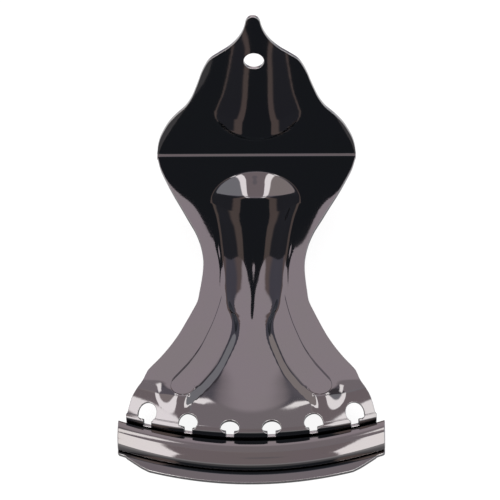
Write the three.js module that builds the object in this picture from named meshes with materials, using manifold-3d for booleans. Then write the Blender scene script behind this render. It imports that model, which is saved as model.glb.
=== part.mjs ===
import * as THREE from 'three';
import { mergeVertices } from 'three/addons/utils/BufferGeometryUtils.js';
import Module from 'manifold-3d';

// Stamped guitar tailpiece, lying show side down with its tail flap standing up.
// Millimetres, +Z up, X across the width, the flap at +Y and the string end at -Y.
// The sheet is described by its upper (guitar side) skin; "run" is the distance
// from the flap towards the string end, and levels are measured from the side plates.

// Sheet
const SHEET_T = 0.95;
const MAX_SLOPE_SHARE = 1.35;
const BEND_R = 0.8;

// Levels below the side plates
const BOWL_DEPTH = 4.8;
const NECK_DEPTH = 4.6;
const FAN_DEPTH = 3.6;
const CORNER_EXTRA_DEPTH = 1;
const FLOOR_DEPTH = 11;

// Flap
const FLAP_HEIGHT = 48.9;
const BEND_HALF_W = 27.1;
const PIN_HOLE_D = 5.3;
const PIN_HOLE_HEIGHT_SHARE = 0.6912;

// Step (riser) between the string field and the bar's floor
const RISER_RUN = 96.45;
const RISER_TOP_R = 1.2;
const RISER_FOOT_R = 0.6;
const STEP_HALF_W = 31.4;
const PLAN_R = 82;
const SWEEP_START_RUN = 66;

// Flap's outline: shares of its height and of the bend's half width, foot to tip
const FLAP_SHARES = [
  [0, 1], [0.0613, 0.9889], [0.1207, 0.9649], [0.18, 0.9225], [0.2413, 0.8653],
  [0.3006, 0.786], [0.3599, 0.6919], [0.4213, 0.6292], [0.4806, 0.5886], [0.5419, 0.5517],
  [0.6012, 0.5185], [0.6605, 0.4742], [0.7014, 0.4299], [0.7423, 0.3432], [0.7812, 0.2528],
  [0.8221, 0.1827], [0.8609, 0.1347], [0.9018, 0.0996], [0.9427, 0.0775], [0.9714, 0.0664],
  [0.9918, 0.0424], [1, 0.0166],
];

// Body's outline: shares of the riser's run and of the step's half width, bend to step
const BODY_SHARES = [
  [0.0508, 0.828], [0.1016, 0.7707], [0.1524, 0.707], [0.2032, 0.6369], [0.254, 0.5685],
  [0.3048, 0.5], [0.3556, 0.4522], [0.4064, 0.4268], [0.4469, 0.4229], [0.4873, 0.4299],
  [0.5288, 0.4427], [0.5692, 0.4586], [0.6096, 0.5016], [0.6501, 0.5494], [0.6905, 0.6003],
  [0.732, 0.664], [0.7724, 0.7389], [0.8149, 0.8296], [0.8294, 0.8471], [0.8533, 0.8726],
  [0.8751, 0.914], [0.8948, 0.9522], [0.9373, 1],
];

// Hollow: shares of the riser's run and of the step's half width, bowl to step
const BOWL_RUN_SHARE = 0.1804;
const BOWL_R_SHARE = 0.4124;
const CHANNEL_SHARES = [
  [0.1804, 0.4124], [0.2592, 0.3599], [0.3318, 0.3057], [0.394, 0.2771], [0.4873, 0.2548],
  [0.5391, 0.242], [0.6013, 0.2134], [0.6428, 0.2006], [0.6998, 0.2102], [0.7569, 0.2866],
  [0.8222, 0.3822], [0.8792, 0.4777], [0.9331, 0.6051], [1.0005, 0.828],
];
const SHOULDER_W = 0.9;
const SHOULDER_SOFT = 1.1;
const FAN_WALL_W = 2.6;
const FAN_WALL_SHARE = 0.5;
const BOWL_END_RUN = 24;
const NECK_START_RUN = 36;
const NECK_END_RUN = 48;
const FAN_START_RUN = 64;

// Band beside the fan, which stays level up to its round end past the side plates' crease
const BAND_SHARES = [
  [0.5391, 0.2834], [0.5806, 0.2898], [0.6065, 0.3153], [0.6428, 0.3567], [0.6967, 0.4172],
  [0.7506, 0.5], [0.8263, 0.6019], [0.8533, 0.6433], [0.8709, 0.6561],
];
const LOBE_X_SHARE = 0.5478;
const LOBE_R = 3.4;
const LOBE_RUN = 84;
const LOBE_WALL_W = 2.4;
const CREASE_RUN = 82.3;
const CREASE_SOFT = 0.9;
const CORNER_CURVE_SHARE = 1.6;

// Floor of the bar: ears under the bar's ends, and the lip in front of it
const EAR_REACH = 2;
const EAR_HALF_W = STEP_HALF_W + EAR_REACH;
const EAR_START = 0.8;
const EAR_FULL = 1.75;
const EAR_END = 7.65;
const EAR_CUT = 0.3;
const LIP_HALF_W = STEP_HALF_W - EAR_CUT;
const LIP_CORNER = 9.6;
const LIP_CORNER_SHARE = 0.8726;
const LIP_END = 10.2;
const LIP_END_SHARE = 0.8089;
const LIP_BEND = 6.75;
const LIP_SLOPE_SHARE = 0.07;

// Keyholes, from the middle out: place across as a share of the step's half width, and the
// distance of the round before the step as a share of its diameter
const KEYHOLE_D = 4.75;
const KEYHOLE_SHARES = [[0.1656, 0.2211], [0.4987, 0.3053], [0.828, 0.4211]];
const SLOT_W = 2;
const SLOT_DROP = 2.35;
const SLOT_REACH = 2;

// String bar: the arcs of its section, from the back over the top, in radius and in the
// angle of a straight turn that the surface has reached at each arc's end
const BAR_BACK_R = 0.6;
const BAR_TOP_R = 8.2;
const BAR_BROW_R = 5.7;
const BAR_FRONT_R = 3.7;
const BAR_ARC_SHARES = [0.45, 0.536, 0.594, 1];
const BAR_ARC_STEPS = [3, 3, 2, 8];
const BAR_FOOT_H = 0.2;
const BAR_GAP = 0.3;

// Fineness of the faceted skin
const COLUMNS = 24;
const BODY_ROW_STEPS = 36;
const BAR_STEPS = 24;
const BEND_STEPS = 4;
const FILLET_STEPS = 3;
const ROUND_SIDES = 28;
const OUTLINE_PASSES = 40;
const WELD_SHARE = 0.0001;

const wasm = await Module();
wasm.setup();

const follow = (shares, length, width) => shares.map(([along, across]) => [along * length, across * width]);
const FLAP_OUTLINE = follow(FLAP_SHARES, FLAP_HEIGHT, BEND_HALF_W);
const BODY_OUTLINE = [[0, BEND_HALF_W], ...follow(BODY_SHARES, RISER_RUN, STEP_HALF_W)];
const CHANNEL_TOP = follow(CHANNEL_SHARES, RISER_RUN, STEP_HALF_W);
const BAND_OUTER = follow(BAND_SHARES, RISER_RUN, STEP_HALF_W);
const BOWL_RUN = BOWL_RUN_SHARE * RISER_RUN;
const BOWL_R = BOWL_R_SHARE * STEP_HALF_W;
const LOBE_X = LOBE_X_SHARE * STEP_HALF_W;
const FIELD_END_RUN = RISER_RUN - RISER_TOP_R;

const clamp01 = (t) => Math.min(1, Math.max(0, t));
const smooth = (t) => clamp01(t) * clamp01(t) * (3 - 2 * clamp01(t));

// Value of a table of [position, value] pairs at a position, joined by a soft curve
function table(rows, at) {
  if (at <= rows[0][0]) return rows[0][1];
  for (let i = 1; i < rows.length; i += 1) {
    if (at <= rows[i][0]) {
      const [x0, y0] = rows[i - 1];
      const [x1, y1] = rows[i];
      const before = i > 1 ? rows[i - 2] : rows[i - 1];
      const after = i < rows.length - 1 ? rows[i + 1] : rows[i];
      const m0 = (y1 - before[1]) / (x1 - before[0]);
      const m1 = (after[1] - y0) / (after[0] - x0);
      const h = x1 - x0;
      const t = (at - x0) / h;
      const a = 2 * t ** 3 - 3 * t ** 2 + 1;
      const b = t ** 3 - 2 * t ** 2 + t;
      const c = -2 * t ** 3 + 3 * t ** 2;
      const d = t ** 3 - t ** 2;
      return a * y0 + b * h * m0 + c * y1 + d * h * m1;
    }
  }
  return rows[rows.length - 1][1];
}

// The string end is swept in plan: its middle reaches further than its sides
const sweepShare = (run) => clamp01((run - SWEEP_START_RUN) / (FIELD_END_RUN - SWEEP_START_RUN));
const sweep = (x, run) => (sweepShare(run) * x * x) / (2 * PLAN_R);

const stepDepth = (x) => FAN_DEPTH + CORNER_EXTRA_DEPTH * (x / STEP_HALF_W) ** 2;

// The value where it is above nothing, with a rounded start
function softOver(value, soft) {
  const h = clamp01(0.5 + value / (2 * soft));
  return value * h + soft * h * (1 - h);
}

// Depth of the bowl and channel, which are round troughs, and of the fan with steeper walls
function hollowDepth(x, run) {
  let across = Math.abs(x);
  let top = table(CHANNEL_TOP, run);
  if (run < BOWL_RUN) {
    across = Math.hypot(x, run - BOWL_RUN);
    top = BOWL_R;
  }
  const toNeck = smooth((run - BOWL_END_RUN) / (NECK_START_RUN - BOWL_END_RUN));
  const toFan = smooth((run - NECK_END_RUN) / (FAN_START_RUN - NECK_END_RUN));
  const troughDepth = BOWL_DEPTH + (NECK_DEPTH - BOWL_DEPTH) * toNeck;
  const trough = softOver(troughDepth * (1 - (across / (top - SHOULDER_W)) ** 2), SHOULDER_SOFT);
  const wall = FAN_WALL_SHARE * smooth((top - across) / FAN_WALL_W);
  const fan = FAN_DEPTH * (wall + (1 - FAN_WALL_SHARE) * clamp01(1 - (across / top) ** 2));
  return trough + (fan - trough) * toFan;
}

// Distance outside the level band beside the fan, which ends in a round lobe
function bandDistance(x, run) {
  if (run > LOBE_RUN) return Math.hypot(Math.abs(x) - LOBE_X, run - LOBE_RUN) - LOBE_R;
  const inner = table(CHANNEL_TOP, run) - table(CHANNEL_TOP, LOBE_RUN) + LOBE_X - LOBE_R;
  const outer = table(BAND_OUTER, run);
  return Math.abs(Math.abs(x) - (inner + outer) / 2) - (outer - inner) / 2;
}

// Depth of the string field, which falls away from the crease and the band's round ends
function fieldDepth(x, run) {
  const past = softOver(run - CREASE_RUN, CREASE_SOFT);
  const end = FIELD_END_RUN - sweep(x, FIELD_END_RUN);
  const fall = 1 - (1 - clamp01(past / (end - CREASE_RUN))) ** CORNER_CURVE_SHARE;
  return stepDepth(x) * fall * smooth(bandDistance(x, run) / LOBE_WALL_W);
}

const skinDepth = (x, run) => Math.max(hollowDepth(x, run), fieldDepth(x, run));

// Vertical thickness of the sheet where its skin slopes
function slopeThickness(x, run) {
  const d = SHEET_T / 4;
  const dx = (skinDepth(x + d, run) - skinDepth(x - d, run)) / (2 * d);
  const dr = (skinDepth(x, run + d) - skinDepth(x, run - d)) / (2 * d);
  return SHEET_T * Math.min(Math.hypot(1, dx, dr), MAX_SLOPE_SHARE);
}

// Rows of the sheet from the flap's tip to the lip: each gives, for a position across,
// the skin point [run, height] and the offset to the show side
const rows = [];
for (let i = FLAP_OUTLINE.length - 1; i > 0; i -= 1) {
  const [height, half] = FLAP_OUTLINE[i];
  rows.push({ half, at: () => [0, height, -SHEET_T, 0] });
}
for (let i = 0; i <= BEND_STEPS; i += 1) {
  const a = (i / BEND_STEPS) * (Math.PI / 2);
  const c = Math.cos(a);
  const s = Math.sin(a);
  rows.push({
    half: BEND_HALF_W,
    at: () => [BEND_R * (1 - c), BEND_R * (1 - s), -SHEET_T * c, -SHEET_T * s],
  });
}

// Half width of the row that crosses the outline: rows bend with the sweep
function rowHalf(run) {
  let half = table(BODY_OUTLINE, run);
  for (let i = 0; i < OUTLINE_PASSES; i += 1) half = (half + table(BODY_OUTLINE, run - sweep(half, run))) / 2;
  return Math.min(half, STEP_HALF_W);
}
for (let i = 1; i <= BODY_ROW_STEPS; i += 1) {
  const run = BEND_R + ((FIELD_END_RUN - BEND_R) * i) / BODY_ROW_STEPS;
  rows.push({
    half: rowHalf(run),
    at: (x) => {
      const real = run - sweep(x, run);
      return [real, -skinDepth(x, real), 0, -slopeThickness(x, real)];
    },
  });
}
for (let i = 1; i <= FILLET_STEPS; i += 1) {
  const a = (i / FILLET_STEPS) * (Math.PI / 2);
  const c = Math.cos(a);
  const s = Math.sin(a);
  rows.push({
    half: STEP_HALF_W,
    at: (x) => [
      FIELD_END_RUN + RISER_TOP_R * s - sweep(x, RISER_RUN),
      -stepDepth(x) - RISER_TOP_R * (1 - c),
      -SHEET_T * s,
      -SHEET_T * c,
    ],
  });
}
for (let i = 0; i <= FILLET_STEPS; i += 1) {
  const a = (i / FILLET_STEPS) * (Math.PI / 2);
  const c = Math.cos(a);
  const s = Math.sin(a);
  rows.push({
    half: STEP_HALF_W,
    at: (x) => [
      RISER_RUN + RISER_FOOT_R * (1 - c) - sweep(x, RISER_RUN),
      -FLOOR_DEPTH + RISER_FOOT_R * (1 - s),
      -SHEET_T * c,
      -SHEET_T * s,
    ],
  });
}
// Rows of the floor: distance past the riser and half width
const FLOOR_ROWS = [
  [EAR_START, STEP_HALF_W], [EAR_FULL, EAR_HALF_W],
  [EAR_END - EAR_CUT, EAR_HALF_W], [EAR_END, LIP_HALF_W + EAR_CUT],
  [EAR_END + EAR_CUT, LIP_HALF_W],
  [LIP_CORNER, LIP_CORNER_SHARE * STEP_HALF_W], [LIP_END, LIP_END_SHARE * STEP_HALF_W],
];
const lipFall = (past) => LIP_SLOPE_SHARE * Math.max(0, past - LIP_BEND);
for (const [past, half] of FLOOR_ROWS) {
  rows.push({
    half,
    at: (x) => [RISER_RUN + past - sweep(x, RISER_RUN), -FLOOR_DEPTH - lipFall(past), 0, -SHEET_T],
  });
}

// Places across each row, as shares of its half width
const columns = [];
for (let i = 0; i <= COLUMNS; i += 1) columns.push((2 * i) / COLUMNS - 1);

function sheetGeometry() {
  const points = [];
  const faces = [];
  const count = columns.length;
  for (const row of rows) {
    for (const u of columns) {
      const x = u * row.half;
      const [run, height] = row.at(x);
      points.push(x, -run, height);
    }
  }
  for (const row of rows) {
    for (const u of columns) {
      const x = u * row.half;
      const [run, height, backRun, backHeight] = row.at(x);
      points.push(x, -(run + backRun), height + backHeight);
    }
  }
  const under = rows.length * count;
  const quad = (a, b, c, d) => faces.push(a, b, c, a, c, d);
  for (let r = 0; r + 1 < rows.length; r += 1) {
    for (let i = 0; i + 1 < count; i += 1) {
      const a = r * count + i;
      const b = a + 1;
      const c = b + count;
      const d = a + count;
      quad(a, d, c, b);
      quad(under + a, under + b, under + c, under + d);
    }
    const left = r * count;
    const right = left + count - 1;
    quad(left, under + left, under + left + count, left + count);
    quad(right, right + count, under + right + count, under + right);
  }
  const last = (rows.length - 1) * count;
  for (let i = 0; i + 1 < count; i += 1) {
    quad(i, i + 1, under + i + 1, under + i);
    quad(last + i, under + last + i, under + last + i + 1, last + i + 1);
  }
  const g = new THREE.BufferGeometry();
  g.setAttribute('position', new THREE.Float32BufferAttribute(points, 3));
  g.setIndex(faces);
  return g;
}

function toSolid(geometry) {
  let g = geometry.clone();
  g.deleteAttribute('normal');
  g.deleteAttribute('uv');
  g = mergeVertices(g, SHEET_T * WELD_SHARE);
  return new wasm.Manifold(new wasm.Mesh({
    numProp: 3,
    vertProperties: new Float32Array(g.attributes.position.array),
    triVerts: new Uint32Array(g.index.array),
  }));
}

function toGeometry(solid) {
  const mesh = solid.getMesh();
  const g = new THREE.BufferGeometry();
  g.setAttribute('position', new THREE.Float32BufferAttribute(mesh.vertProperties, 3));
  g.setIndex(Array.from(mesh.triVerts));
  const flat = g.toNonIndexed();
  flat.computeVertexNormals();
  return flat;
}

// One keyhole: a round through the field, its lower arc on the step, and a slot down the step
function keyholeSolid(x, before) {
  const stepRun = RISER_RUN - sweep(x, RISER_RUN);
  const centreRun = stepRun - before;
  const level = -stepDepth(x);
  const through = 3 * SHEET_T;
  const r = KEYHOLE_D / 2;
  const roundDepth = through + SHEET_T;
  const round = new THREE.CylinderGeometry(r, r, roundDepth, ROUND_SIDES);
  round.rotateX(Math.PI / 2);
  round.translate(x, -centreRun, level + through - roundDepth / 2 - SHEET_T);
  const keepRun = stepRun - SHEET_T / 2;
  const keep = new THREE.BoxGeometry(2 * KEYHOLE_D, KEYHOLE_D * 2, 2 * roundDepth);
  keep.translate(x, -keepRun + KEYHOLE_D, level);
  const arc = new THREE.CylinderGeometry(r, r, SLOT_REACH + SHEET_T, ROUND_SIDES);
  arc.translate(x, -(stepRun - SHEET_T + (SLOT_REACH + SHEET_T) / 2), level + before);
  const slotLength = before + SLOT_REACH;
  const slotHeight = SLOT_DROP + through;
  const slot = new THREE.BoxGeometry(SLOT_W, slotLength, slotHeight);
  slot.translate(x, -(centreRun + slotLength / 2), level - SLOT_DROP + slotHeight / 2);
  return toSolid(round).intersect(toSolid(keep)).add(toSolid(arc)).add(toSolid(slot));
}

function plateSolid() {
  let plate = toSolid(sheetGeometry());
  const pin = new THREE.CylinderGeometry(PIN_HOLE_D / 2, PIN_HOLE_D / 2, 4 * SHEET_T, ROUND_SIDES);
  pin.translate(0, 0, PIN_HOLE_HEIGHT_SHARE * FLAP_HEIGHT);
  plate = plate.subtract(toSolid(pin));
  for (const [across, before] of follow(KEYHOLE_SHARES, STEP_HALF_W, KEYHOLE_D)) {
    plate = plate.subtract(keyholeSolid(across, before));
    plate = plate.subtract(keyholeSolid(-across, before));
  }
  return plate;
}

// Section of the bar: distance past its back face and height over its flat side
function barSection() {
  const arcs = [[0, 0]];
  let from = 0;
  [BAR_BACK_R, BAR_TOP_R, BAR_BROW_R, BAR_FRONT_R].forEach((r, k) => {
    const to = BAR_ARC_SHARES[k];
    const [startRun, startHeight] = arcs[arcs.length - 1];
    const start = Math.PI * from;
    for (let i = 1; i <= BAR_ARC_STEPS[k]; i += 1) {
      const a = start + (Math.PI * (to - from) * i) / BAR_ARC_STEPS[k];
      arcs.push([
        startRun + r * (Math.cos(start) - Math.cos(a)),
        startHeight + r * (Math.sin(a) - Math.sin(start)),
      ]);
    }
    from = to;
  });
  const [width, drop] = arcs[arcs.length - 1];
  const lifted = arcs.map(([run, height]) => [run, height - drop + BAR_FOOT_H]);
  return [[0, 0], ...lifted, [width, 0]];
}

// Low rounded bar, swept like the step, its flat side over the floor
function barGeometry() {
  const section = barSection();
  const points = [];
  const faces = [];
  const count = section.length;
  for (let i = 0; i <= BAR_STEPS; i += 1) {
    const x = EAR_HALF_W * ((2 * i) / BAR_STEPS - 1);
    for (const [past, height] of section) {
      const run = RISER_RUN + BAR_GAP + past - sweep(x, RISER_RUN);
      points.push(x, -run, -FLOOR_DEPTH + BAR_GAP + height);
    }
  }
  const quad = (a, b, c, d) => faces.push(a, b, c, a, c, d);
  for (let i = 0; i < BAR_STEPS; i += 1) {
    for (let j = 0; j < count; j += 1) {
      const a = i * count + j;
      const b = i * count + ((j + 1) % count);
      quad(a, b, b + count, a + count);
    }
  }
  const last = BAR_STEPS * count;
  for (let j = 1; j + 1 < count; j += 1) {
    faces.push(0, j + 1, j);
    faces.push(last, last + j, last + j + 1);
  }
  const g = new THREE.BufferGeometry();
  g.setAttribute('position', new THREE.Float32BufferAttribute(points, 3));
  g.setIndex(faces);
  const flat = g.toNonIndexed();
  flat.computeVertexNormals();
  return flat;
}

const blackNickel = () => new THREE.MeshStandardMaterial({ color: 0x5f585b, metalness: 1, roughness: 0.16 });

const tailpiece = new THREE.Group();
const plate = new THREE.Mesh(toGeometry(plateSolid()), blackNickel());
plate.name = 'plate';
const bar = new THREE.Mesh(barGeometry(), blackNickel());
bar.name = 'string_bar';

// The part's origin is under its middle, at the level of its lowest face
const middleRun = (RISER_RUN + LIP_END - SHEET_T) / 2;
const placed = new THREE.Group();
placed.position.set(0, middleRun, FLOOR_DEPTH + lipFall(LIP_END) + SHEET_T);
placed.add(plate, bar);
tailpiece.add(placed);

export default tailpiece;
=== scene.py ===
# Guitar tailpiece of stamped sheet, lying show side down with its tail flap standing up.
import math

import bpy
import numpy as np
from mathutils import Matrix, Vector
from mathutils.geometry import delaunay_2d_cdt


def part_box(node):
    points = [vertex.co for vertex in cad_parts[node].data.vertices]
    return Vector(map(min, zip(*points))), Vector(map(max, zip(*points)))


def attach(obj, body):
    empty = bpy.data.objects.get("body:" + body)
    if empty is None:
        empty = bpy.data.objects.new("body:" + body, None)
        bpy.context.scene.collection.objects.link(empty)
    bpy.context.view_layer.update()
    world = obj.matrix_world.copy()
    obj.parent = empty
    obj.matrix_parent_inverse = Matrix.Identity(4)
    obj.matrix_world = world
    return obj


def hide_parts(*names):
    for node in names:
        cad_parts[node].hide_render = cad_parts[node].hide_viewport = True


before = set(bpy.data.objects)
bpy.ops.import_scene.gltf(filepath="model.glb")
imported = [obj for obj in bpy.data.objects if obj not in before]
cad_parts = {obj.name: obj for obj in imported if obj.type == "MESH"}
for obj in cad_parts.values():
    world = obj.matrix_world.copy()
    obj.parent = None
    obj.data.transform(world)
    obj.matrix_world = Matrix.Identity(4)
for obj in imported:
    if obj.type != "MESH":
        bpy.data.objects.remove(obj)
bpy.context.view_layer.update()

MM = 0.001

# Sheet, in millimetres; "run" is the distance from the flap towards the string end,
# and levels are measured down from the flat side plates.
SHEET_T = 0.95
BEND_R = 0.8
EDGE_R = 0.14
FAN_DEPTH = 3.6
CORNER_EXTRA_DEPTH = 1.0
FLOOR_DEPTH = 11.0
RIM_DROP = 0.32
RIM_W = 0.45

# Step between the string field and the bar's floor
RISER_RUN = 96.45
RISER_TOP_R = 1.2
RISER_FOOT_R = 0.6
RISER_FLAT = 5.6
LIP_END_RUN = 106.65
LIP_BEND_RUN = 103.2
LIP_BEND_SOFT = 0.5
LIP_SLOPE = 0.07
PLAN_R = 82.0
SWEEP_START_RUN = 66.0

# Half width of the flap at each height
FLAP_OUTLINE = [
    (0, 27.1), (3, 26.8), (5.9, 26.15), (8.8, 25), (11.8, 23.45), (14.7, 21.3),
    (17.6, 18.75), (20.6, 17.05), (23.5, 15.95), (26.5, 14.95), (29.4, 14.05),
    (32.3, 12.85), (34.3, 11.65), (36.3, 9.3), (38.2, 6.85), (40.2, 4.95),
    (42.1, 3.65), (44.1, 2.7), (46.1, 2.1), (47.5, 1.8), (48.5, 1.15), (48.9, 0.45),
]
PIN_HOLE_R = 2.65
PIN_HOLE_HEIGHT = 33.8

# Half width of the body at each run
BODY_OUTLINE = [
    (0, 27.1), (4.9, 26), (9.8, 24.2), (14.7, 22.2), (19.6, 20), (24.5, 17.85),
    (29.4, 15.7), (34.3, 14.2), (39.2, 13.4), (43.1, 13.28), (47, 13.5), (51, 13.9),
    (54.9, 14.4), (58.8, 15.75), (62.7, 17.25), (66.6, 18.85), (70.6, 20.85),
    (74.5, 23.2), (78.6, 26.05), (80, 26.6), (82.3, 27.4), (84.4, 28.7), (86.3, 29.9),
    (90.4, 31.4),
]
STEP_HALF_W = 31.4
EAR_HALF_W = 33.4
EAR_START_RUN = 97.25
EAR_FULL_RUN = 98.2
EAR_END_RUN = 104.1
EAR_CUT = 0.3
LIP_HALF_W = 31.1
LIP_CORNER_RUN = 106.05
LIP_CORNER_HALF_W = 27.4
LIP_END_HALF_W = 25.4

# Emboss: half width of its hollow and depth of its middle, at each run
BOWL_RUN = 18.3
BOWL_R = 11.7
HOLLOW_HALF = [
    (18.3, 11.7), (21, 11), (24.7, 10.05), (30, 9.2), (35.4, 8.6), (40, 8.1), (44, 7.8),
    (50, 7.7), (54, 7.5), (57, 7), (59, 6.35), (62, 5.85), (66.4, 6.15), (73, 8.1),
    (79, 10.45), (84.2, 13.7), (88, 16.8), (92, 20.5), (96.5, 25),
]
MIDDLE_DEPTH = [
    (0, 4.9), (10, 4.9), (18, 4.85), (24, 4.5), (30, 4.1), (36, 3.8), (44, 3.6),
    (52, 3.3), (60, 2.9), (66, 2.75), (74, 2.8), (84, 3.1), (96.5, 3.6),
]
# Round end of the hollow at the flap's side: it meets the channel in a crease
BOWL_DEPTH = 6.2
BOWL_FLATNESS = 0.38
CREASE_ROUND = 0.35
# Share of the depth that the fan's side walls take, and their width
FAN_WALL_SHARE = 0.45
FAN_WALL_W = 2.6
# Rounding where the hollow starts, at the bowl and at the fan
SHOULDER_SOFT = 1.7
FAN_SHOULDER_SOFT = 0.5
# Runs at which the neck ends and the fan starts
NECK_END_RUN = 48.0
FAN_START_RUN = 60.0

# Rim of the emboss: a small step down from the side plates
RIM_HALF = [
    (17.4, 12.9), (25, 11.7), (32, 10.4), (38, 9.3), (44, 8.7), (50, 8.1), (53, 8.2),
    (57, 8.9), (62, 10.1), (66, 11.35), (70, 12.75), (73, 14.1), (76.5, 16), (79.5, 18),
    (82.3, 19.85), (84, 20.2),
]
RIM_TOP_R = 12.9
RIM_START_RUN = 49.0
RIM_FADE = 6.0
# Distance square to the rim's slanting side for one unit across
RIM_SLANT = 0.9

# Crease of the side plates, and the lobes that reach past it
CREASE_RUN = 82.3
CREASE_SOFT = 0.9
LOBE_X = 17.2
LOBE_R = 3.0
LOBE_RUN = 84.0
LOBE_WALL_W = 4.5
FIELD_CURVE = 1.25

# How softly the hollow joins the side plates, and how softly it joins the string field
BLEND = 0.7
FIELD_BLEND = 1.6

# Keyholes: place across, and how far the round's centre lies before the step's corner
KEYHOLES = [(5.2, 1.05), (15.66, 1.45), (26.0, 2.0)]
KEYHOLE_R = 2.375
SLOT_W = 2.0
SLOT_DROP = 2.35
SLOT_CORNER_R = 0.3

# String bar
BAR_FOOT_RUN = 103.25
BAR_GAP = 0.3
BAR_HALF_L = 33.4
BAR_EDGE_R = 0.22
# Radius of each arc of the bar's section, and the angle to which its normal turns,
# from the back over the top
BAR_ARCS = [(0.6, 81), (8.2, 96.5), (5.7, 107), (3.9, 180)]

# Fineness of the meshes, in millimetres unless it is a count; FLAP_ROWS holds the first
# row's path, the end and the step, and EDGE_ANGLES the turns of a rounded edge in degrees
EDGE_SPACING = 0.38
EDGE_ANGLES = (30, 60, 90)
FLAP_ROWS = (-48.5, -2.0, 1.6)
BEND_ROWS_START = -1.4
BEND_REACH = 0.6
BODY_STEP = 0.42
PLAIN_STEP = 0.8
GRID_HALF_W = 34.0
RIM_LINE_OFFSETS = (-0.45, -0.22, 0.0, 0.22, 0.45)
RIM_LINE_SPACING = 0.4
LOBE_ARC = (0.02, math.pi - 0.5)
RIM_CLEAR = 0.3
EDGE_CLEAR = 0.2
MERGE_TOL = 1e-7
CDT_INSIDE = 1
NORMAL_STEP = 0.02
SWEEP_PASSES = 30
OUTLINE_PASSES = 60
NEAR_BATCH = 200
BAR_STATIONS = 90
BAR_END_TILT = 0.01
ARC_LEAST_POINTS = 4
ARC_SPACING = 8.0

# Lengths along the sheet at which its form changes
FILLET_START = RISER_RUN - RISER_TOP_R
RISER_START = FILLET_START + 2 * RISER_TOP_R
FOOT_START = RISER_START + RISER_FLAT
FLOOR_START = FOOT_START + 2 * RISER_FOOT_R
SHEET_END = FLOOR_START + LIP_END_RUN - RISER_RUN - RISER_FOOT_R

plate_low, plate_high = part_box("plate")
MIDDLE_RUN = plate_high[1] / MM - SHEET_T
LIP_DROP = LIP_SLOPE * (LIP_END_RUN - LIP_BEND_RUN)
PLATE_LEVEL = plate_low[2] / MM + FLOOR_DEPTH + LIP_DROP + SHEET_T


def to_metres(x, run, height):
    """Points in metres in the part's frame from sheet places in millimetres."""
    return np.stack([x, MIDDLE_RUN - run, height + PLATE_LEVEL], axis=-1) * MM


def smooth(t):
    t = np.clip(t, 0.0, 1.0)
    return t * t * (3 - 2 * t)


def table(rows, at):
    """Value at each position of a table of (position, value) pairs, joined by a soft curve."""
    xs = np.array([r[0] for r in rows], float)
    ys = np.array([r[1] for r in rows], float)
    before = np.maximum(np.arange(len(xs)) - 1, 0)
    after = np.minimum(np.arange(len(xs)) + 1, len(xs) - 1)
    slope = (ys[after] - ys[before]) / (xs[after] - xs[before])
    at = np.clip(np.asarray(at, float), xs[0], xs[-1])
    i = np.clip(np.searchsorted(xs, at, side="right") - 1, 0, len(xs) - 2)
    h = xs[i + 1] - xs[i]
    t = (at - xs[i]) / h
    rise = (2 * t**3 - 3 * t**2 + 1) * ys[i] + (-2 * t**3 + 3 * t**2) * ys[i + 1]
    return rise + (t**3 - 2 * t**2 + t) * h * slope[i] + (t**3 - t**2) * h * slope[i + 1]


def sweep(x, path):
    """How far the string end's curved plan draws a point back towards the flap."""
    share = np.clip((path - SWEEP_START_RUN) / (FILLET_START - SWEEP_START_RUN), 0.0, 1.0)
    return share * x * x / (2 * PLAN_R)


def step_depth(x):
    return FAN_DEPTH + CORNER_EXTRA_DEPTH * (x / STEP_HALF_W) ** 2


def soft_max(a, b, soft):
    h = np.clip(0.5 + 0.5 * (a - b) / soft, 0.0, 1.0)
    return b + (a - b) * h + soft * h * (1 - h)


def soft_over(a, soft):
    """The value where it is above nothing, with a rounded start."""
    h = np.clip(0.5 + 0.5 * a / soft, 0.0, 1.0)
    return a * h + soft * h * (1 - h)


def hollow_depth(x, run):
    """Depth of the channel and fan, cut short at the flap's side by the round end of the bowl."""
    to_fan = smooth((run - NECK_END_RUN) / (FAN_START_RUN - NECK_END_RUN))
    half = np.where(run < BOWL_RUN, BOWL_R, table(HOLLOW_HALF, run))
    wall = smooth((half - np.abs(x)) / FAN_WALL_W) * FAN_WALL_SHARE * to_fan
    curve = (1 - FAN_WALL_SHARE * to_fan) * (1 - (x / half) ** 2)
    trough = table(MIDDLE_DEPTH, run) * (curve + wall)
    part = (x * x + np.minimum(run - BOWL_RUN, 0) ** 2) / BOWL_R**2
    bowl = BOWL_DEPTH * (1 - (1 - BOWL_FLATNESS) * part - BOWL_FLATNESS * part * part)
    bowl = np.where(run < BOWL_RUN, bowl, bowl + (run - BOWL_RUN))
    deep = -soft_max(-trough, -bowl, CREASE_ROUND)
    soft = SHOULDER_SOFT + (FAN_SHOULDER_SOFT - SHOULDER_SOFT) * to_fan
    return soft_over(deep, soft)


def finger_distance(x, run):
    """Distance outside the band between the hollow and the rim, which ends in a lobe."""
    inner = table(HOLLOW_HALF, run) - table(HOLLOW_HALF, LOBE_RUN) + LOBE_X - LOBE_R
    outer = table(RIM_HALF, run)
    band = np.abs(np.abs(x) - 0.5 * (inner + outer)) - 0.5 * (outer - inner)
    lobe = np.hypot(np.abs(x) - LOBE_X, run - LOBE_RUN) - LOBE_R
    return np.where(run > LOBE_RUN, lobe, band)


def rim_distance(x, run):
    """Distance outside the emboss's rim, negative inside it."""
    side = np.abs(x) - table(RIM_HALF, run)
    bowl = np.hypot(x, run - BOWL_RUN) - RIM_TOP_R
    lobe = np.hypot(np.abs(x) - LOBE_X, run - LOBE_RUN) - LOBE_R
    return np.where(run < BOWL_RUN, bowl, np.where(run > LOBE_RUN, lobe, side * RIM_SLANT))


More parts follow.
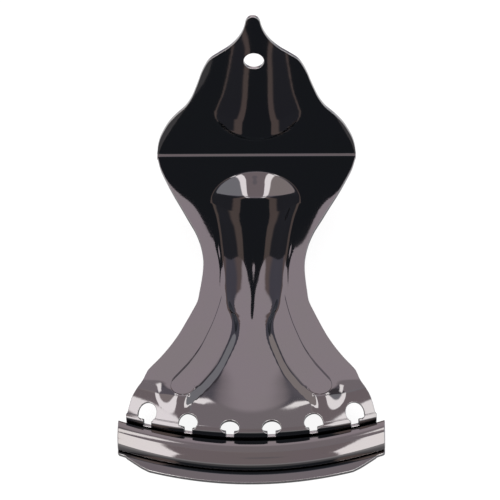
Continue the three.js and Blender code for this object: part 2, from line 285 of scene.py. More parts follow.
def field_depth(x, run):
    """Depth of the string field, which falls away from the crease and the lobes' ends."""
    past = run - CREASE_RUN
    past = 0.5 * (past + np.sqrt(past * past + CREASE_SOFT * CREASE_SOFT))
    end = FILLET_START - sweep(x, FILLET_START) - CREASE_RUN
    share = np.clip(past / end, 0.0, 1.0)
    fall = share**FIELD_CURVE
    left = 1 - np.clip(finger_distance(x, run) / LOBE_WALL_W, 0.0, 1.0)
    return step_depth(x) * fall * (1 - left * left)


def skin_depth(x, run):
    """Depth of the guitar side below the side plates at a body place."""
    along_rim = smooth((run - RIM_START_RUN) / RIM_FADE)
    rim = RIM_DROP * smooth(0.5 - rim_distance(x, run) / RIM_W) * along_rim
    rim = np.where(run > LOBE_RUN + LOBE_R, RIM_DROP, rim)
    to_field = smooth((run - RIM_START_RUN) / (CREASE_RUN - RIM_START_RUN))
    soft = BLEND + (FIELD_BLEND - BLEND) * to_field
    return soft_max(hollow_depth(x, run), np.maximum(field_depth(x, run), rim), soft)


def lip_fall(path):
    """How far the lip falls in front of the bar."""
    past = RISER_RUN + RISER_FOOT_R + path - FLOOR_START - LIP_BEND_RUN
    return LIP_SLOPE * 0.5 * (past + np.sqrt(past * past + LIP_BEND_SOFT * LIP_BEND_SOFT))


def skin(x, path):
    """Guitar side of the sheet: run and height at a place across and a length along it."""
    x = np.asarray(x, float)
    path = np.asarray(path, float)
    back = sweep(x, path)
    bend = np.clip((path + BEND_R) / (2 * BEND_R), 0, 1) * math.pi / 2
    top = np.clip((path - FILLET_START) / (2 * RISER_TOP_R), 0, 1) * math.pi / 2
    foot = np.clip((path - FOOT_START) / (2 * RISER_FOOT_R), 0, 1) * math.pi / 2
    down = np.clip((path - RISER_START) / RISER_FLAT, 0, 1)
    riser_top = -step_depth(x) - RISER_TOP_R
    riser_foot = -FLOOR_DEPTH + RISER_FOOT_R
    body_run = path - back
    forms = [
        (path < -BEND_R, 0 * x, -path),
        (path < BEND_R, BEND_R * (1 - np.cos(bend)), BEND_R * (1 - np.sin(bend))),
        (path < FILLET_START, body_run, -skin_depth(x, body_run)),
        (path < RISER_START, FILLET_START + RISER_TOP_R * np.sin(top) - back,
         -step_depth(x) - RISER_TOP_R * (1 - np.cos(top))),
        (path < FOOT_START, RISER_RUN - back, riser_top + (riser_foot - riser_top) * down),
        (path < FLOOR_START, RISER_RUN + RISER_FOOT_R * (1 - np.cos(foot)) - back,
         -FLOOR_DEPTH + RISER_FOOT_R * (1 - np.sin(foot))),
        (path >= FLOOR_START, RISER_RUN + RISER_FOOT_R + path - FLOOR_START - back,
         -FLOOR_DEPTH - lip_fall(path)),
    ]
    tests = [f[0] for f in forms]
    run = np.select(tests, [f[1] + 0 * x for f in forms])
    return run, np.select(tests, [f[2] + 0 * x for f in forms])


def skin_points(x, path):
    """Places on the guitar side, in millimetres from the flap's corner line."""
    run, height = skin(x, path)
    return np.stack([x, -run, height], axis=-1)


def skin_frame(x, path):
    """Directions across and along the skin, and its normal on the guitar side."""
    d = NORMAL_STEP
    across = skin_points(x + d, path) - skin_points(x - d, path)
    along = skin_points(x, path + d) - skin_points(x, path - d)
    normal = np.cross(along, across)
    normal /= np.linalg.norm(normal, axis=1, keepdims=True)
    return across, along, normal


def path_of(x, run):
    """Length along the sheet of a body place, undoing the sweep."""
    path = np.array(run, float)
    for _ in range(SWEEP_PASSES):
        path = run + sweep(x, path)
    return path


def body_half(path):
    """Half width of the body at a length along the sheet."""
    half = table(BODY_OUTLINE, path)
    for _ in range(OUTLINE_PASSES):
        half = 0.5 * (half + table(BODY_OUTLINE, path - sweep(half, path)))
    return np.minimum(half, STEP_HALF_W)


def even(points, spacing, closed=True):
    """The same line with its points at an even spacing."""
    points = np.asarray(points, float)
    if closed:
        points = np.vstack([points, points[:1]])
    length = np.concatenate([[0], np.cumsum(np.linalg.norm(np.diff(points, axis=0), axis=1))])
    count = max(8, int(round(length[-1] / spacing)))
    at = np.linspace(0, length[-1], count, endpoint=not closed)
    return np.stack([np.interp(at, length, points[:, k]) for k in (0, 1)], axis=1)


def inset(loop, by):
    """A closed loop moved towards the material, which lies on its left."""
    along = np.roll(loop, -1, axis=0) - np.roll(loop, 1, axis=0)
    along /= np.linalg.norm(along, axis=1, keepdims=True)
    return loop + by * np.stack([-along[:, 1], along[:, 0]], axis=1)


def outline_loop():
    """Outline of the unrolled sheet, anticlockwise with x to the right and the path upwards."""
    heights = np.linspace(FLAP_OUTLINE[-1][0], BEND_R, 220)
    side = [(half, -h) for h, half in zip(heights, table(FLAP_OUTLINE, heights))]
    side += [(FLAP_OUTLINE[0][1], p) for p in np.linspace(-BEND_R, BEND_R, 6)]
    paths = np.linspace(BEND_R, FILLET_START, 320)
    side += list(zip(body_half(paths), paths))
    side += [(STEP_HALF_W, p) for p in np.linspace(FILLET_START, FLOOR_START, 16)[1:]]
    to_path = FLOOR_START - RISER_RUN - RISER_FOOT_R
    side += [
        (STEP_HALF_W, EAR_START_RUN + to_path),
        (EAR_HALF_W - EAR_CUT, EAR_FULL_RUN - EAR_CUT + to_path),
        (EAR_HALF_W, EAR_FULL_RUN + to_path),
        (EAR_HALF_W, EAR_END_RUN - EAR_CUT + to_path),
        (EAR_HALF_W - EAR_CUT, EAR_END_RUN + to_path),
        (LIP_HALF_W + EAR_CUT, EAR_END_RUN + to_path),
        (LIP_HALF_W, EAR_END_RUN + EAR_CUT + to_path),
        (LIP_CORNER_HALF_W, LIP_CORNER_RUN + to_path),
        (LIP_END_HALF_W, LIP_END_RUN + to_path),
    ]
    side = np.array(side, float)
    other = side[::-1] * np.array([-1, 1])
    return np.vstack([side, other])


def circle(cx, cy, r, count=96):
    a = np.linspace(0, 2 * math.pi, count, endpoint=False)
    return np.stack([cx + r * np.cos(a), cy + r * np.sin(a)], axis=1)


def step_path(x, past):
    """Path of a place by its distance past the step's corner, along field and riser alike."""
    flat = FLOOR_DEPTH - RISER_FOOT_R - step_depth(x) - RISER_TOP_R
    on_riser = RISER_START + (past - RISER_TOP_R) * RISER_FLAT / flat
    run = RISER_RUN + past - sweep(x, FILLET_START)
    on_field = path_of(x, np.minimum(run, FILLET_START - sweep(x, FILLET_START)))
    on_step = np.where(past > -RISER_TOP_R, RISER_RUN + past, on_field)
    return np.where(past > RISER_TOP_R, on_riser, on_step)


def keyhole_loop(x, before, grow):
    """Keyhole across the step: a round in the field and a slot down the riser."""
    r = KEYHOLE_R + grow
    half = SLOT_W / 2 + grow
    corner = SLOT_CORNER_R
    start = math.asin(half / r)
    a = np.linspace(start, 2 * math.pi - start, 90)
    rounds = np.stack([r * np.sin(a), r * np.cos(a) - before], axis=1)
    low = SLOT_DROP + grow
    sides = np.linspace(rounds[-1][1], low - corner, 12)[1:]
    turn = np.linspace(0, math.pi / 2, 6)[1:]
    slot = [(-half, v) for v in sides]
    slot += [(-half + corner * (1 - math.cos(t)), low - corner * (1 - math.sin(t)))
             for t in turn]
    slot += [(-px, v) for px, v in slot[::-1]]
    shape = np.vstack([rounds, np.array(slot)])
    px = x + shape[:, 0]
    # the round is true in plan: its distance past the corner follows the curved step
    shift = (px * px - x * x) / (2 * PLAN_R)
    past = shape[:, 1] + np.where(shape[:, 1] < 0, shift, 0)
    return np.stack([px, step_path(px, past)], axis=1)


def signed_area(loop):
    nxt = np.roll(loop, -1, axis=0)
    return 0.5 * np.sum(loop[:, 0] * nxt[:, 1] - nxt[:, 0] * loop[:, 1])


def inside(points, loop):
    """Which points lie inside a closed loop."""
    result = np.zeros(len(points), bool)
    a = loop
    b = np.roll(loop, -1, axis=0)
    for (x0, y0), (x1, y1) in zip(a, b):
        if y0 == y1:
            continue
        cross = (points[:, 1] >= min(y0, y1)) & (points[:, 1] < max(y0, y1))
        at = x0 + (points[:, 1] - y0) * (x1 - x0) / (y1 - y0)
        result ^= cross & (points[:, 0] < at)
    return result


def near(points, line, reach):
    """Which points lie within a distance of any point of a line."""
    result = np.zeros(len(points), bool)
    for start in range(0, len(line), NEAR_BATCH):
        part = line[start:start + NEAR_BATCH]
        low, high = part.min(axis=0) - reach, part.max(axis=0) + reach
        box = np.where(((points > low) & (points < high)).all(axis=1) & ~result)[0]
        if len(box):
            gap = np.linalg.norm(points[box, None] - part[None], axis=2).min(axis=1)
            result[box[gap < reach]] = True
    return result


def rim_lines():
    """Lines beside the emboss's rim, which need finer points than the rest."""
    lines = []
    runs = np.linspace(BOWL_RUN, LOBE_RUN, 260)
    a = np.linspace(0, math.pi, 120)
    cap = np.linspace(*LOBE_ARC, 34)
    for off in RIM_LINE_OFFSETS:
        half = table(RIM_HALF, runs) + off
        top_r = RIM_TOP_R + off
        lobe_r = LOBE_R + off
        for sign in (1, -1):
            lines.append(np.stack([sign * half, runs], axis=1))
            lobe_x = sign * (LOBE_X + lobe_r * np.cos(cap))
            lines.append(np.stack([lobe_x, LOBE_RUN + lobe_r * np.sin(cap)], axis=1))
        bowl = np.stack([top_r * np.cos(a), BOWL_RUN - top_r * np.sin(a)], axis=1)
        lines.append(bowl[1:-1])
    out = []
    for line in lines:
        line = np.stack([line[:, 0], path_of(line[:, 0], line[:, 1])], axis=1)
        out.append(even(line, RIM_LINE_SPACING, closed=False))
    return np.vstack(out)


def sheet_grid():
    """Lattice of inner points, finer where the sheet is formed."""
    rows = list(np.arange(*FLAP_ROWS))
    rows += list(np.linspace(BEND_ROWS_START, BEND_R + BEND_REACH, 12))
    rows += list(np.arange(BEND_R + 1.0, FILLET_START - 0.3, BODY_STEP))
    rows += list(np.linspace(FILLET_START - 0.1, RISER_START, 12))
    rows += list(np.linspace(RISER_START, FOOT_START, 9)[1:-1])
    rows += list(np.linspace(FOOT_START, FLOOR_START, 8))
    rows += list(np.arange(FLOOR_START + PLAIN_STEP / 2, SHEET_END, PLAIN_STEP))
    out = []
    for i, path in enumerate(rows):
        step = BODY_STEP if path > BEND_R + BEND_REACH else PLAIN_STEP
        xs = np.arange(-GRID_HALF_W, GRID_HALF_W + 0.001, step) + (step / 2 if i % 2 else 0)
        out.append(np.stack([xs, np.full(len(xs), path)], axis=1))
    return np.vstack(out)


def sheet_loops():
    """Outline and holes of the unrolled sheet, each with the material on its left."""
    outline = even(outline_loop(), EDGE_SPACING)
    if signed_area(outline) < 0:
        outline = outline[::-1]
    outline = inset(outline, EDGE_R)
    holes = [circle(0, -PIN_HOLE_HEIGHT, PIN_HOLE_R + EDGE_R)]
    for x, before in KEYHOLES:
        holes += [keyhole_loop(sign * x, before, EDGE_R) for sign in (1, -1)]
    return [outline] + [hole if signed_area(hole) < 0 else hole[::-1] for hole in holes]


def on_sheet(points, loops):
    """Which points lie inside the outline and outside every hole."""
    result = inside(points, loops[0])
    for loop in loops[1:]:
        result &= ~inside(points, loop)
    return result


def sheet_triangles(loops):
    """Points and triangles of the unrolled sheet, and the number of each loop point in them."""
    points = sheet_grid()
    rim = rim_lines()
    points = np.vstack([points[~near(points, rim, RIM_CLEAR)], rim])
    points = points[on_sheet(points, loops)]
    edge = np.vstack(loops)
    points = points[~near(points, edge, EDGE_CLEAR)]
    count = len(edge)
    ties = []
    for loop in loops:
        start = len(ties)
        ties += [(start + i, start + (i + 1) % len(loop)) for i in range(len(loop))]
    flat = [Vector(p) for p in np.vstack([edge, points])]
    verts, _, faces, source, _, _ = delaunay_2d_cdt(flat, ties, [], CDT_INSIDE, MERGE_TOL)
    verts = np.array([tuple(v) for v in verts])
    faces = np.array([f for f in faces if len(f) == 3])
    faces = faces[on_sheet(verts[faces].mean(axis=1), loops)]
    index = {s: i for i, group in enumerate(source) for s in group if s < count}
    return verts, faces, np.array([index[i] for i in range(count)])


def outward(loop, edge, across, along, normal):
    """Direction in the sheet's surface away from the material, at each point of a loop."""
    tangent = np.roll(edge, -1, axis=0) - np.roll(edge, 1, axis=0)
    out = np.cross(tangent, normal)
    out /= np.linalg.norm(out, axis=1, keepdims=True)
    flat = np.roll(loop, -1, axis=0) - np.roll(loop, 1, axis=0)
    away = across * flat[:, 1:] - along * flat[:, :1]
    return out * np.sign(np.sum(out * away, axis=1))[:, None]


def edge_rings(edge, out, normal):
    """Places and normals round a cut edge, from the guitar side to the show side."""
    angles = np.radians(EDGE_ANGLES)
    rings = []
    for a in angles:
        rings.append((edge + EDGE_R * (math.sin(a) * out + (math.cos(a) - 1) * normal),
                      math.sin(a) * out + math.cos(a) * normal))
    low = edge - (SHEET_T - EDGE_R) * normal
    for a in angles[::-1]:
        rings.append((low + EDGE_R * (math.sin(a) * out - math.cos(a) * normal),
                      math.sin(a) * out - math.cos(a) * normal))
    return rings


def quads(a, b):
    """Faces between two closed rings of vertex numbers."""
    return np.stack([a, np.roll(a, -1), np.roll(b, -1), b], axis=1)


def sheet_mesh(name):
    """The sheet's two sides, joined by rounded cut edges."""
    loops = sheet_loops()
    verts, faces, loop_verts = sheet_triangles(loops)
    x, path = verts[:, 0], verts[:, 1]
    across, along, normal = skin_frame(x, path)
    top = skin_points(x, path)
    total = len(top)
    places = [top, top - SHEET_T * normal]
    normals = [normal, -normal]
    cut = [np.zeros(total), np.zeros(total)]
    polys = [faces[:, ::-1], faces + total]
    base = 2 * total
    start = 0
    for loop in loops:
        ids = loop_verts[start:start + len(loop)]
        start += len(loop)
        out = outward(loop, top[ids], across[ids], along[ids], normal[ids])
        here = [ids]
        for place, facing in edge_rings(top[ids], out, normal[ids]):
            places.append(place)
            normals.append(facing)
            cut.append(np.ones(len(ids)))
            here.append(np.arange(base, base + len(ids)))
            base += len(ids)
        here.append(ids + total)
        polys += [quads(a, b) for a, b in zip(here[:-1], here[1:])]
    places = np.vstack(places)
    shown = to_metres(places[:, 0], -places[:, 1], places[:, 2])
    return make_mesh(name, shown, polys, np.vstack(normals), np.concatenate(cut))


def new_object(name, data):
    """An object in the scene's own collection."""
    made = bpy.data.objects.new(name, data)
    bpy.context.scene.collection.objects.link(made)
    return made


def make_mesh(name, places, polys, normals, cut):
    """A mesh object with its own smooth normals and a mark on its cut edges."""
    mesh = bpy.data.meshes.new(name)
    mesh.from_pydata(places.tolist(), [], [p.tolist() for group in polys for p in group])
    mesh.validate()
    mesh.update()
    mark = mesh.attributes.new("cut_edge", "FLOAT", "POINT")
    mark.data.foreach_set("value", np.asarray(cut, np.float32))
    mesh.shade_smooth()
    mesh.normals_split_custom_set_from_vertices(normals.tolist())
    return new_object(name, mesh)


def bar_section():
    """Places (run, height) round the bar's section with their normals, back foot first."""
    e = BAR_EDGE_R
    over = []
    run, height, angle = 0.0, 0.0, 0.0
    for radius, to in BAR_ARCS:
        start, end = math.radians(angle), math.radians(to)
        count = ARC_LEAST_POINTS + int(radius * (to - angle) / ARC_SPACING)
        for a in np.radians(np.linspace(angle, to, count))[:-1]:
            over.append((run + radius * (math.cos(start) - math.cos(a)),
                         height + radius * (math.sin(a) - math.sin(start)),
                         -math.cos(a), math.sin(a)))
        run += radius * (math.cos(start) - math.cos(end))
        height += radius * (math.sin(end) - math.sin(start))
        angle = to
    drop = min(0.0, height) - e
    back_run = BAR_FOOT_RUN - run
    over = [(back_run + r, h - drop, nr, nh) for r, h, nr, nh in over]
    back = [(back_run + e * (1 - math.cos(a)), e * (1 - math.sin(a)), -math.cos(a), -math.sin(a))
            for a in np.linspace(math.pi / 2, 0, 6)]
    front = [(BAR_FOOT_RUN, height - drop, 1.0, 0.0)]
    front += [(BAR_FOOT_RUN - e * (1 - math.cos(a)), e * (1 - math.sin(a)),
               math.cos(a), -math.sin(a)) for a in np.linspace(0, math.pi / 2, 6)]
    return np.array(back + over + front)


def bar_mesh(name):
    """Low rounded bar with its plan curved like the step."""
    e = BAR_EDGE_R
    section = bar_section()
    turn = np.linspace(0, math.pi / 2, 5)
    middle = np.linspace(-BAR_HALF_L + e, BAR_HALF_L - e, BAR_STATIONS)[1:-1]
    stations = [(-BAR_HALF_L + e * (1 - math.cos(a)), e * (1 - math.sin(a)), math.cos(a))
                for a in turn]
    stations += [(x, 0.0, 0.0) for x in middle]
    stations += [(BAR_HALF_L - e * (1 - math.cos(a)), e * (1 - math.sin(a)), -math.cos(a))
                 for a in turn[::-1]]
    count = len(section)
    places = []
    normals = []
    cut = []
    for x, drawn, tilt in stations:
        flat = math.sqrt(max(0.0, 1 - tilt * tilt))
        run = section[:, 0] - drawn * section[:, 2] - x * x / (2 * PLAN_R)
        height = -FLOOR_DEPTH + BAR_GAP + section[:, 1] - drawn * section[:, 3]
        places.append(to_metres(np.full(count, x), run, height))
        facing = np.stack([section[:, 2] * flat * x / PLAN_R - tilt, -section[:, 2] * flat,
                           section[:, 3] * flat], axis=1)
        normals.append(facing / np.linalg.norm(facing, axis=1, keepdims=True))
        cut.append(np.full(count, 1.0 if abs(tilt) > BAR_END_TILT else 0.0))
    ring = np.arange(count)
    last = len(stations) - 1
    polys = [quads(i * count + ring, i * count + ring + count) for i in range(last)]
    polys.append([ring[::-1], last * count + ring])
    return make_mesh(name, np.vstack(places), polys, np.vstack(normals), np.concatenate(cut))


class Nodes:
    """Short hand for building a node tree."""

    def __init__(self, tree):
        self.tree = tree
        tree.nodes.clear()

    def add(self, kind, inputs=(), **settings):
        node = self.tree.nodes.new(kind)
        for key, value in settings.items():
            setattr(node, key, value)
        for key, value in dict(inputs).items():
            self.put(node.inputs[key], value)
        return node

    def put(self, socket, value):
        if isinstance(value, bpy.types.NodeSocket):
            self.tree.links.new(value, socket)
        else:
            socket.default_value = value

    def math(self, operation, a, b=0.0):
        return self.add("ShaderNodeMath", {0: a, 1: b}, operation=operation).outputs[0]

    def product(self, first, *others):
        for other in others:
            first = self.math("MULTIPLY", first, other)
        return first

    def vector(self, operation, *values):
        inputs = dict(enumerate(values))
        return self.add("ShaderNodeVectorMath", inputs, operation=operation).outputs

    def ramp(self, value, low, high, to_low=0.0, to_high=1.0):
        node = self.add("ShaderNodeMapRange", {
            "Value": value, "From Min": low, "From Max": high,
            "To Min": to_low, "To Max": to_high,
        })
        node.interpolation_type = "SMOOTHSTEP"
        return node.outputs["Result"]

    def mix(self, factor, a, b):
        node = self.add("ShaderNodeMix", data_type="RGBA")
        self.put(node.inputs[0], factor)
        self.put(node.inputs[6], a)
        self.put(node.inputs[7], b)
        return node.outputs[2]

    def noise(self, place, scale, detail):
        inputs = {"Vector": place, "Scale": scale, "Detail": detail}
        return self.add("ShaderNodeTexNoise", inputs).outputs["Fac"]

    def emission(self, colour, strength):
        return self.add("ShaderNodeEmission", {"Color": colour, "Strength": strength}).outputs[0]

    def finish(self, shader, kind="ShaderNodeOutputMaterial"):
        self.add(kind, {"Surface": shader})


def new_material(name):
    mat = bpy.data.materials.new(name)
    mat.use_nodes = True
    return mat, Nodes(mat.node_tree)


# Metal: scales of its noises per metre, and what its cut edges and its bump add
CLOUD_SCALE = 70.0
GRAIN_SCALE = 1400.0
RIPPLE_SCALE = 260.0
NOISE_RANGE = (0.3, 0.7)
ROUGH_SPREAD = (0.85, 1.2)
EDGE_TINT = (0.40, 0.39, 0.39, 1.0)
EDGE_TINT_SHARE = 0.85
EDGE_ROUGHER = 0.22
ROUGH_GRAIN = 0.5
ROUGH_CLOUD = 0.5
BUMP_GRAIN = 0.35
BUMP_RIPPLE = 0.65
BUMP_STRENGTH = 0.25
BUMP_DISTANCE = 0.00002


def black_nickel(name, colour, warm, rough):
    """Glossy black nickel over steel, with paler cut edges."""
    mat, n = new_material(name)
    place = n.add("ShaderNodeTexCoord").outputs["Object"]
    cloud = n.noise(place, CLOUD_SCALE, 4.0)
    grain = n.noise(place, GRAIN_SCALE, 3.0)
    ripple = n.noise(place, RIPPLE_SCALE, 2.0)
    tint = n.mix(n.ramp(cloud, *NOISE_RANGE), colour, warm)
    edge = n.add("ShaderNodeAttribute", attribute_name="cut_edge").outputs["Fac"]
    tint = n.mix(n.math("MULTIPLY", edge, EDGE_TINT_SHARE), tint, EDGE_TINT)
    texture = n.math("ADD", n.math("MULTIPLY", grain, ROUGH_GRAIN),
                     n.math("MULTIPLY", cloud, ROUGH_CLOUD))
    least, most = ROUGH_SPREAD
    roughness = n.ramp(texture, *NOISE_RANGE, rough * least, rough * most)
    roughness = n.math("ADD", roughness, n.math("MULTIPLY", edge, EDGE_ROUGHER))
    height = n.math("ADD", n.math("MULTIPLY", grain, BUMP_GRAIN),
                    n.math("MULTIPLY", ripple, BUMP_RIPPLE))
    bump = n.add("ShaderNodeBump", {
        "Height": height, "Strength": BUMP_STRENGTH, "Distance": BUMP_DISTANCE,
    }).outputs["Normal"]
    shader = n.add("ShaderNodeBsdfPrincipled", {
        "Base Color": tint, "Metallic": 1.0, "Roughness": roughness, "Normal": bump,
    })
    n.finish(shader.outputs["BSDF"])
    return mat


# Studio floor, in metres: mirrors see it darker inside SHADE_SIZE, close to the part, as a painted
# shadow of the part
FLOOR_GLOW = 0.9
FLOOR_HALF_W = 3.0
FLOOR_LEVEL = -0.0002
PAPER = (0.16, 0.16, 0.16, 1)
SHADE_SIZE = (0.045, 0.068, 1.0)
SHADE_REACH = (0.9, 1.3)
SHADE_LEVEL = 0.2


def studio_floor():
    mesh = bpy.data.meshes.new("floor")
    s = FLOOR_HALF_W
    mesh.from_pydata([(-s, -s, 0), (s, -s, 0), (s, s, 0), (-s, s, 0)], [], [(0, 1, 2, 3)])
    floor = new_object("floor", mesh)
    floor.location.z = FLOOR_LEVEL
    mat, n = new_material("white_floor")
    rays = n.add("ShaderNodeLightPath").outputs
    mirrored = n.math("MAXIMUM", rays["Is Glossy Ray"], rays["Is Transmission Ray"])
    seen = n.math("MAXIMUM", rays["Is Camera Ray"], mirrored)
    place = n.add("ShaderNodeTexCoord").outputs["Object"]
    # painted shadow: the floor's glow for mirror rays falls to SHADE_LEVEL near the part, while
    # camera rays see it whole
    away = n.vector("LENGTH", n.vector("DIVIDE", place, SHADE_SIZE)[0])["Value"]
    glow_past_painted_shadow = n.math("MAXIMUM", n.ramp(away, *SHADE_REACH, SHADE_LEVEL, 1.0),
                        rays["Is Camera Ray"])
    glow = n.emission((1, 1, 1, 1), n.product(seen, glow_past_painted_shadow, FLOOR_GLOW))
    paper = n.add("ShaderNodeBsdfDiffuse", {"Color": PAPER}).outputs[0]
    n.finish(n.add("ShaderNodeAddShader", {0: glow, 1: paper}).outputs[0])
    mesh.materials.append(mat)


# Tent: a half dome whose light goes by its direction from the part. In a unit direction,
# "aside" is the size of x, "ahead" the share towards the camera, "lean" y over z, and
# "rise" lean and aside together. A pair is where a ramp starts and where it is full.
TENT_R = 1.2
TENT_TURNS = 96
TENT_RINGS = 32
LEAST_Z = 0.02
RIGHT_HALF = (-0.05, 0.05)
RISE_ASIDE = 1.4

# Wall behind the flap: mauve, browner overhead and low down, dark on both sides
OVERHEAD = (0.88, 0.79, 0.84, 1)
BACK_WALL = (1.31, 1.17, 1.25, 1)
BACK_WALL_LEAN = (0.58, 0.72)
LOW_WALL = (0.47, 0.37, 0.36, 1)
LOW_WALL_LEAN = (1.35, 1.5)
DIM_WALL = (0.42, 0.40, 0.46, 1)
DIM_LEAN = (0.62, 0.52)
DIM_RISE = (0.7, 0.78)
DIM_ASIDE = (0.07, 0.14)
LEFT_DARK = (0.5, 0.47, 0.54, 1)
RIGHT_DARK = (0.21, 0.20, 0.22, 1)
DARK_LEAN = (0.6, 0.5)
DARK_ASIDE = (0.24, 0.32)
SIDE_WALL = (0.27, 0.265, 0.33, 1)
SIDE_WALL_ASIDE = (0.50, 0.58)

# Walls on the camera's side, and the edge at which they meet the wall behind
LEFT_FRONT = (1.06, 0.95, 0.93, 1)
RIGHT_FRONT = (0.86, 0.89, 0.95, 1)
FRONT_ASIDE = 0.75
FRONT_UP = 0.338
FRONT_EDGE = (0.03, -0.03)

# Gap at the camera, with the lens in it
GAP = (0.80, 0.69, 0.72, 1)
GAP_EDGE = (0.012, -0.012)
GAP_Y = (0.0, -0.06)
LENS = (0.60, 0.55, 0.60, 1)
LENS_WAY = (0.027, -0.694, 0.719)
LENS_COSINE = (0.993, 0.998)

# Softboxes: a panel on each side of the gap, and a strip over each side of the part.
# A panel's near and far edges are so much of ahead and of z.
BOX = (4.2, 4.15, 4.1, 1)
NEAR_AHEAD = 0.3
NEAR_UP = 0.25
NEAR_LEAST = 0.466
FAR_AHEAD = 0.6
FAR_UP = 0.41
FAR_LOW_START = 0.6
FAR_LOW_SLOPE = 1.5
NEAR_EDGE = (-0.012, 0.012)
FAR_EDGE = (-0.03, 0.03)
BOX_LEAN = (0.02, -0.05)
STRIP_ASIDE_IN = (0.11, 0.15)
STRIP_ASIDE_OUT = (0.40, 0.33)
STRIP_RISE_IN = (0.52, 0.57)
STRIP_RISE_OUT = (0.74, 0.69)

# Light that reaches the eye over two of the part's faces is dimmer and has its own tints
FIRST_MIRROR = 1.5
TWICE_NARROWER = 0.2
TWICE_WALL = (0.45, 0.50, 0.60, 1)
TWICE_GAP = (0.27, 0.33, 0.39, 1)
TWICE_BOX = (2.2, 1.85, 1.65, 1)


def tent_mesh():
    """Half dome in rings from its top down."""
    verts = [(0, 0, TENT_R)]
    for j in range(1, TENT_RINGS + 1):
        up = math.pi / 2 * (1 - j / TENT_RINGS)
        for i in range(TENT_TURNS):
            a = 2 * math.pi * i / TENT_TURNS
            verts.append((TENT_R * math.cos(up) * math.cos(a),
                          TENT_R * math.cos(up) * math.sin(a), TENT_R * math.sin(up)))
    around = [(i, (i + 1) % TENT_TURNS) for i in range(TENT_TURNS)]
    faces = [(0, 1 + i, 1 + after) for i, after in around]
    for j in range(TENT_RINGS - 1):
        ring = 1 + j * TENT_TURNS
        below = ring + TENT_TURNS
        faces += [(ring + i, below + i, below + after, ring + after) for i, after in around]
    mesh = bpy.data.meshes.new("tent")
    mesh.from_pydata(verts, [], faces)
    return mesh


def back_light(n, lean, aside, rise, right):
    """Light of the wall behind the flap and of the side walls."""
    light = n.mix(n.ramp(lean, *BACK_WALL_LEAN), OVERHEAD, BACK_WALL)
    light = n.mix(n.ramp(lean, *LOW_WALL_LEAN), light, LOW_WALL)
    dim = n.product(n.ramp(lean, *DIM_LEAN), n.ramp(rise, *DIM_RISE), n.ramp(aside, *DIM_ASIDE))
    light = n.mix(dim, light, DIM_WALL)
    dark = n.product(n.ramp(lean, *DARK_LEAN), n.ramp(aside, *DARK_ASIDE))
    light = n.mix(dark, light, n.mix(right, LEFT_DARK, RIGHT_DARK))
    return n.mix(n.ramp(aside, *SIDE_WALL_ASIDE), light, SIDE_WALL)


def box_edges(n, ahead, z, deep):
    """How far aside the panels start and end."""
    near_edge = n.math("ADD", n.math("MULTIPLY", ahead, NEAR_AHEAD), n.math("MULTIPLY", z, NEAR_UP))
    near_edge = n.math("MAXIMUM", near_edge, n.math("MULTIPLY", ahead, NEAR_LEAST))
    low = n.math("MAXIMUM", n.math("SUBTRACT", ahead, FAR_LOW_START), 0.0)
    low = n.math("MULTIPLY", low, n.math("MULTIPLY", n.math("SUBTRACT", 1.0, deep), FAR_LOW_SLOPE))
    far_edge = n.math("ADD", n.math("MULTIPLY", ahead, FAR_AHEAD), n.math("MULTIPLY", z, FAR_UP))
    kept = n.math("SUBTRACT", 1.0, n.math("MULTIPLY", deep, TWICE_NARROWER))
    return near_edge, n.math("ADD", n.math("MULTIPLY", far_edge, kept), low)


def tent_light(n):
    """Colour of the tent's light at each direction."""
    way = n.vector("NORMALIZE", n.add("ShaderNodeTexCoord").outputs["Object"])[0]
    x, y, z = n.add("ShaderNodeSeparateXYZ", {0: way}).outputs
    lean = n.math("DIVIDE", y, n.math("MAXIMUM", z, LEAST_Z))
    aside = n.math("ABSOLUTE", x)
    ahead = n.math("MULTIPLY", y, -1.0)
    rise = n.math("ADD", lean, n.math("MULTIPLY", aside, RISE_ASIDE))
    right = n.ramp(x, *RIGHT_HALF)
    deep = n.math("GREATER_THAN", n.add("ShaderNodeLightPath").outputs["Ray Depth"], FIRST_MIRROR)

    side = n.math("MULTIPLY", aside, FRONT_ASIDE)
    side = n.math("SUBTRACT", side, n.math("MULTIPLY", z, FRONT_UP))
    front_edge = n.math("SUBTRACT", y, n.math("MAXIMUM", side, 0.0))
    light = n.mix(n.ramp(front_edge, *FRONT_EDGE), back_light(n, lean, aside, rise, right),
                  n.mix(right, LEFT_FRONT, RIGHT_FRONT))

    near_edge, far_edge = box_edges(n, ahead, z, deep)
    past_near = n.math("SUBTRACT", aside, near_edge)
    gap = n.product(n.ramp(past_near, *GAP_EDGE), n.ramp(y, *GAP_Y))
    light = n.mix(gap, light, GAP)
    to_camera = n.vector("DOT_PRODUCT", way, LENS_WAY)["Value"]
    light = n.mix(n.ramp(to_camera, *LENS_COSINE), light, LENS)

    before_far = n.math("SUBTRACT", far_edge, aside)
    box = n.product(n.ramp(past_near, *NEAR_EDGE), n.ramp(before_far, *FAR_EDGE),
                    n.ramp(lean, *BOX_LEAN))
    strip = n.product(n.ramp(aside, *STRIP_ASIDE_IN), n.ramp(aside, *STRIP_ASIDE_OUT),
                      n.product(n.ramp(rise, *STRIP_RISE_IN), n.ramp(rise, *STRIP_RISE_OUT)))
    light = n.mix(n.math("MAXIMUM", box, strip), light, BOX)
    twice = n.mix(box, n.mix(gap, TWICE_WALL, TWICE_GAP), TWICE_BOX)
    return n.mix(deep, light, twice)


def light_tent():
    """The tent, which only reflections and light rays see."""
    mesh = tent_mesh()
    tent = new_object("tent", mesh)
    tent.visible_camera = False
    mat, n = new_material("tent_light")
    n.finish(n.emission(tent_light(n), 1.0))
    mesh.materials.append(mat)


def white_world():
    world = bpy.data.worlds.new("white")
    bpy.context.scene.world = world
    world.use_nodes = True
    n = Nodes(world.node_tree)
    back = n.add("ShaderNodeBackground", {"Color": (1, 1, 1, 1), "Strength": 1.0})
    n.finish(back.outputs[0], "ShaderNodeOutputWorld")


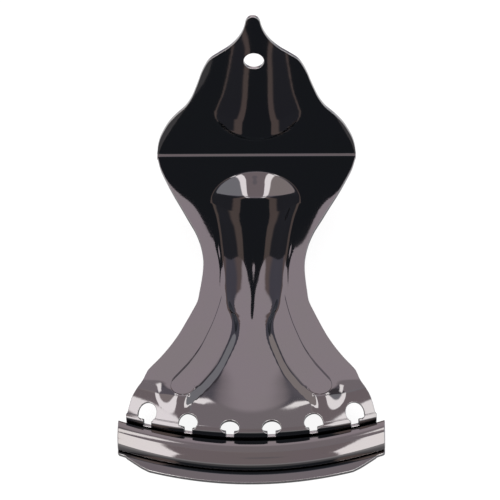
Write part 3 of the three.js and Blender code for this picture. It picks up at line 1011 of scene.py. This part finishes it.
# Camera, from a fit of the photograph's outline to its own mirror symmetry
CAMERA_AT = (0.01861, -0.47722, 0.50565)
AXIS_AZIMUTH = math.radians(2.238)
AXIS_ELEVATION = math.radians(46)
AXIS_ROLL = math.radians(-1.781)
FOCAL_PIXELS = 2654.9
AXIS_PIXEL = (253.169, 297.356)
FRAME_PIXELS = 500


def photo_camera():
    back = np.array([math.sin(AXIS_AZIMUTH) * math.cos(AXIS_ELEVATION),
                     -math.cos(AXIS_AZIMUTH) * math.cos(AXIS_ELEVATION),
                     math.sin(AXIS_ELEVATION)])
    right = np.cross(-back, (0, 0, 1))
    right /= np.linalg.norm(right)
    up = np.cross(right, -back)
    r = right * math.cos(AXIS_ROLL) + up * math.sin(AXIS_ROLL)
    u = -right * math.sin(AXIS_ROLL) + up * math.cos(AXIS_ROLL)
    # aim at the middle of the frame, so that no lens shift is needed
    middle = FRAME_PIXELS / 2
    aim = (-back + r * (middle - AXIS_PIXEL[0]) / FOCAL_PIXELS
           - u * (middle - AXIS_PIXEL[1]) / FOCAL_PIXELS)
    aim /= np.linalg.norm(aim)
    r = np.cross(aim, u)
    r /= np.linalg.norm(r)
    u = np.cross(r, aim)
    data = bpy.data.cameras.new("camera")
    camera = new_object("camera", data)
    data.sensor_width = 36.0
    data.sensor_fit = "HORIZONTAL"
    data.lens = FOCAL_PIXELS / FRAME_PIXELS * data.sensor_width
    data.clip_start = 0.01
    turn = Matrix((r, u, -aim)).transposed()
    camera.matrix_world = Matrix.Translation(CAMERA_AT) @ turn.to_4x4()
    bpy.context.scene.camera = camera


photo_camera()
studio_floor()
light_tent()
white_world()
bpy.context.scene.view_settings.view_transform = "Standard"

# Two tints of each metal, mixed in soft clouds, and its roughness
PLATE_TINTS = (0.166, 0.155, 0.162, 1), (0.164, 0.157, 0.158, 1)
PLATE_ROUGH = 0.05
BAR_TINTS = (0.166, 0.153, 0.159, 1), (0.166, 0.156, 0.154, 1)
BAR_ROUGH = 0.055
plate_metal = black_nickel("black_nickel", *PLATE_TINTS, PLATE_ROUGH)
bar_metal = black_nickel("black_nickel_bar", *BAR_TINTS, BAR_ROUGH)

plate = sheet_mesh("stamped_plate")
plate.data.materials.append(plate_metal)
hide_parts("plate")
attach(plate, "root")

bar = bar_mesh("half_round_bar")
bar.data.materials.append(bar_metal)
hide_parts("string_bar")
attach(bar, "root")
